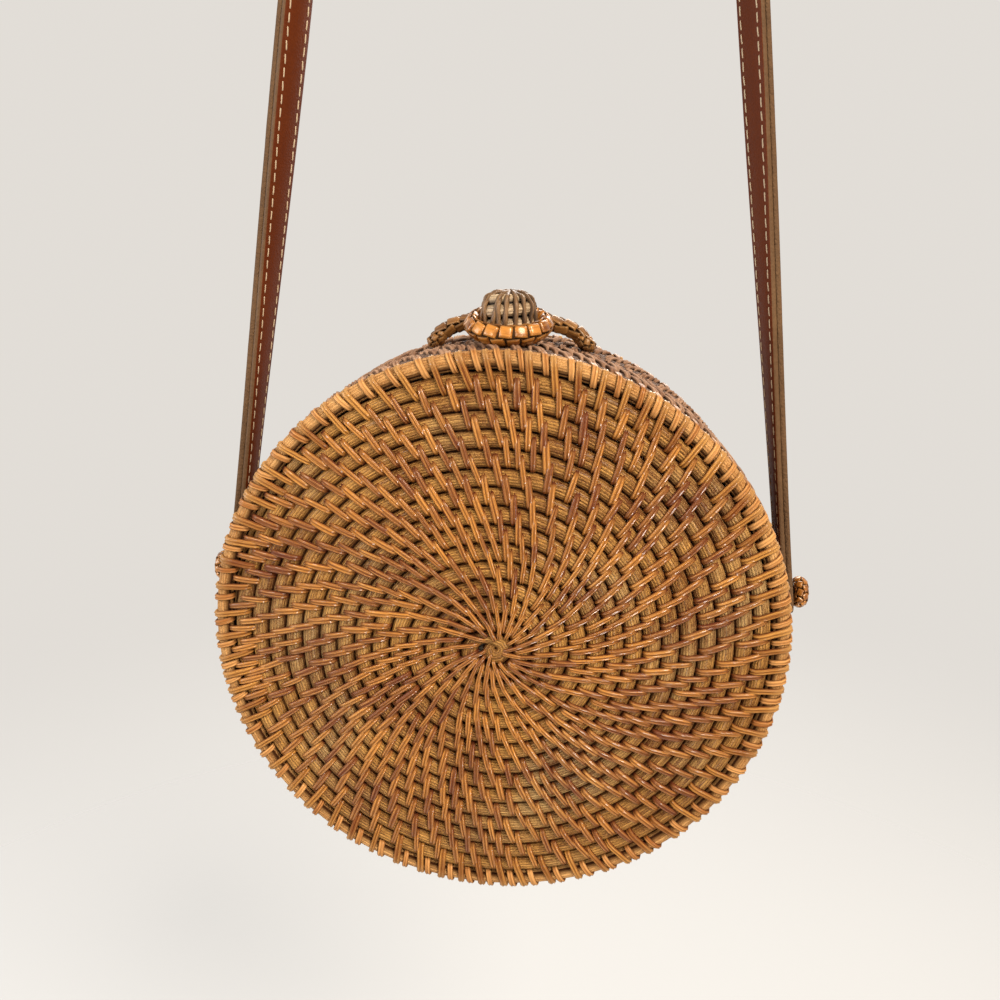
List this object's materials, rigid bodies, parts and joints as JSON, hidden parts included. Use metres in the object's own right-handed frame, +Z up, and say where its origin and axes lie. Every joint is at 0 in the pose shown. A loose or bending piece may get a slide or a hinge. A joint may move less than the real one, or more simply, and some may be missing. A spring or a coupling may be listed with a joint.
{
  "type": "circle bag",
  "caption": "Round coiled-cane shoulder bag: two hinged halves with a cotton lining, a knob-and-ring clasp, and a flat leather strap on woven side buttons.",
  "frame": {"origin": "underside of the strap's arch, where a peg or a shoulder carries the bag", "axes": "+Z up, the woven front face with the crown looks along -Y, +X to the right seen from the front"},
  "size_m": [0.2306, 0.077, 0.68],
  "materials": {
    "face_cane": "coiled split cane, varnished golden brown",
    "side_cane": "coiled split cane, weathered grey brown",
    "braided_cane": "flat-plaited split cane, glossy orange brown",
    "binding_cane": "wrapped cane strips",
    "grey_cane": "dark wrapped cane over a pale coil",
    "grain_leather": "smooth brown grain leather, cream stitching",
    "suede_leather": "raw pebbled brown leather edge and back",
    "cotton": "plain woven cotton, unbleached"
  },
  "bodies": {
    "strap": {"strap_face_leather": "grain_leather", "strap_backing_leather": "suede_leather"},
    "back_half": {"back_disc": "face_cane", "back_corner_coil": "face_cane", "back_wall": "side_cane", "back_mouth_coil": "side_cane", "back_lining": "cotton", "back_lining_hem": "cotton", "back_hinge_lashings": "binding_cane", "ring_bar": "braided_cane", "bar_foot_knots": "braided_cane", "left_strap_button": "braided_cane", "right_strap_button": "braided_cane"},
    "front_half": {"front_disc": "face_cane", "front_corner_coil": "face_cane", "front_wall": "side_cane", "front_mouth_coil": "side_cane", "front_lining": "cotton", "front_lining_hem": "cotton", "front_hinge_lashings": "binding_cane", "hinge_cane": "binding_cane", "closure_knob": "grey_cane", "knob_tie": "grey_cane"},
    "clasp_ring": {"closure_ring": "braided_cane"}
  },
  "joints": [
    {"name": "bag_swing", "type": "hinge", "parent": "strap", "child": "back_half", "pos_m": [0, 0, -0.56], "axis": [1, 0, 0], "range_deg": [-60, 90]},
    {"name": "front_open", "type": "hinge", "parent": "back_half", "child": "front_half", "pos_m": [0, -0.009, -0.6717], "axis": [1, 0, 0], "range_deg": [0, 110]},
    {"name": "ring_lift", "type": "hinge", "parent": "back_half", "child": "clasp_ring", "pos_m": [0, -0.00454, -0.4568], "axis": [-1, 0, 0], "range_deg": [0, 130]}
  ]
}
